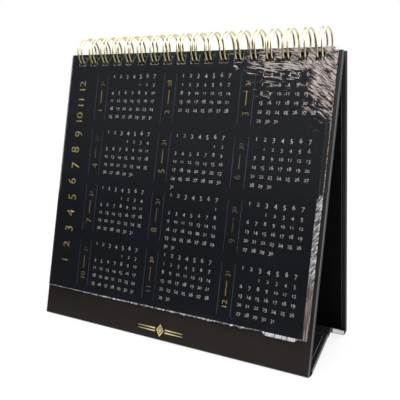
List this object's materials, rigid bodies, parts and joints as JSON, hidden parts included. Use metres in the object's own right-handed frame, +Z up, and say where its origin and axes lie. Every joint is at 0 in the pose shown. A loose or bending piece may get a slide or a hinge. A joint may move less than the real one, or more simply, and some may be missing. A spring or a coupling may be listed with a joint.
{
  "type": "desk calendar",
  "caption": "Free-standing easel desk calendar: wrapped folding boards with a creased base, and turning leaves and a clear front sheet on a twin-loop binding wire.",
  "frame": {"origin": "on the table, midway between the stand's two feet and midway along the binding", "axes": "+X along the binding to the viewer's right, +Y from the front board to the back board, +Z up"},
  "size_m": [0.164, 0.0648, 0.1619],
  "materials": {
    "greyboard": "matte",
    "cover_paper": "satin",
    "lining_paper": "matte",
    "gilt_wire": "gloss",
    "leaf_paper": "matte",
    "printed_leaf": "satin",
    "clear_film": "gloss"
  },
  "bodies": {
    "stand_front": {"front_board": "greyboard", "front_wrap": "cover_paper", "front_liner": "lining_paper", "front_crease": "cover_paper", "binding_wire": "gilt_wire"},
    "stand_back": {"back_board": "greyboard", "back_wrap": "cover_paper", "back_liner": "lining_paper", "rear_crease": "cover_paper"},
    "base_front": {"base_front_board": "greyboard", "base_front_wrap": "cover_paper", "base_front_liner": "lining_paper", "centre_crease_front": "cover_paper"},
    "base_rear": {"base_rear_board": "greyboard", "base_rear_wrap": "cover_paper", "base_rear_liner": "lining_paper", "centre_crease_rear": "cover_paper"},
    "month_12": {"month_leaf_12": "leaf_paper"},
    "month_11": {"month_leaf_11": "leaf_paper"},
    "month_10": {"month_leaf_10": "leaf_paper"},
    "month_09": {"month_leaf_09": "leaf_paper"},
    "month_08": {"month_leaf_08": "leaf_paper"},
    "month_07": {"month_leaf_07": "leaf_paper"},
    "month_06": {"month_leaf_06": "leaf_paper"},
    "month_05": {"month_leaf_05": "leaf_paper"},
    "month_04": {"month_leaf_04": "leaf_paper"},
    "month_03": {"month_leaf_03": "leaf_paper"},
    "month_02": {"month_leaf_02": "leaf_paper"},
    "month_01": {"month_leaf_01": "leaf_paper"},
    "year": {"year_leaf": "printed_leaf"},
    "clear_sheet": {"clear_front_sheet": "clear_film"}
  },
  "joints": [
    {"name": "back_fold", "type": "hinge", "parent": "stand_front", "child": "stand_back", "pos_m": [0, 0, 0.15334], "axis": [-1, 0, 0], "range_deg": [0, 17.25]},
    {"name": "base_front_fold", "type": "hinge", "parent": "stand_front", "child": "base_front", "pos_m": [0, -0.0295, 0.00164], "axis": [1, 0, 0], "range_deg": [0, 55.95], "deforming": ["centre_crease_front"]},
    {"name": "base_rear_fold", "type": "hinge", "parent": "stand_back", "child": "base_rear", "pos_m": [0, 0.0295, 0.00164], "axis": [-1, 0, 0], "range_deg": [0, 55.95], "deforming": ["centre_crease_rear"]},
    {"name": "turn_month_12", "type": "hinge", "parent": "stand_front", "child": "month_12", "pos_m": [0, 0, 0.15334], "axis": [-1, 0, 0], "range_deg": [0, 180]},
    {"name": "turn_month_11", "type": "hinge", "parent": "month_12", "child": "month_11", "pos_m": [0, 0, 0.15334], "axis": [-1, 0, 0], "range_deg": [0, 180]},
    {"name": "turn_month_10", "type": "hinge", "parent": "month_11", "child": "month_10", "pos_m": [0, 0, 0.15334], "axis": [-1, 0, 0], "range_deg": [0, 180]},
    {"name": "turn_month_09", "type": "hinge", "parent": "month_10", "child": "month_09", "pos_m": [0, 0, 0.15334], "axis": [-1, 0, 0], "range_deg": [0, 180]},
    {"name": "turn_month_08", "type": "hinge", "parent": "month_09", "child": "month_08", "pos_m": [0, 0, 0.15334], "axis": [-1, 0, 0], "range_deg": [0, 180]},
    {"name": "turn_month_07", "type": "hinge", "parent": "month_08", "child": "month_07", "pos_m": [0, 0, 0.15334], "axis": [-1, 0, 0], "range_deg": [0, 180]},
    {"name": "turn_month_06", "type": "hinge", "parent": "month_07", "child": "month_06", "pos_m": [0, 0, 0.15334], "axis": [-1, 0, 0], "range_deg": [0, 180]},
    {"name": "turn_month_05", "type": "hinge", "parent": "month_06", "child": "month_05", "pos_m": [0, 0, 0.15334], "axis": [-1, 0, 0], "range_deg": [0, 180]},
    {"name": "turn_month_04", "type": "hinge", "parent": "month_05", "child": "month_04", "pos_m": [0, 0, 0.15334], "axis": [-1, 0, 0], "range_deg": [0, 180]},
    {"name": "turn_month_03", "type": "hinge", "parent": "month_04", "child": "month_03", "pos_m": [0, 0, 0.15334], "axis": [-1, 0, 0], "range_deg": [0, 180]},
    {"name": "turn_month_02", "type": "hinge", "parent": "month_03", "child": "month_02", "pos_m": [0, 0, 0.15334], "axis": [-1, 0, 0], "range_deg": [0, 180]},
    {"name": "turn_month_01", "type": "hinge", "parent": "month_02", "child": "month_01", "pos_m": [0, 0, 0.15334], "axis": [-1, 0, 0], "range_deg": [0, 180]},
    {"name": "turn_year", "type": "hinge", "parent": "month_01", "child": "year", "pos_m": [0, 0, 0.15334], "axis": [-1, 0, 0], "range_deg": [0, 180]},
    {"name": "turn_clear_sheet", "type": "hinge", "parent": "year", "child": "clear_sheet", "pos_m": [0, 0, 0.15334], "axis": [-1, 0, 0], "range_deg": [0, 180]}
  ],
  "couplings": [
    {"joint": "base_front_fold", "follows": "back_fold", "ratio": 3.24},
    {"joint": "base_rear_fold", "follows": "back_fold", "ratio": 3.24}
  ]
}
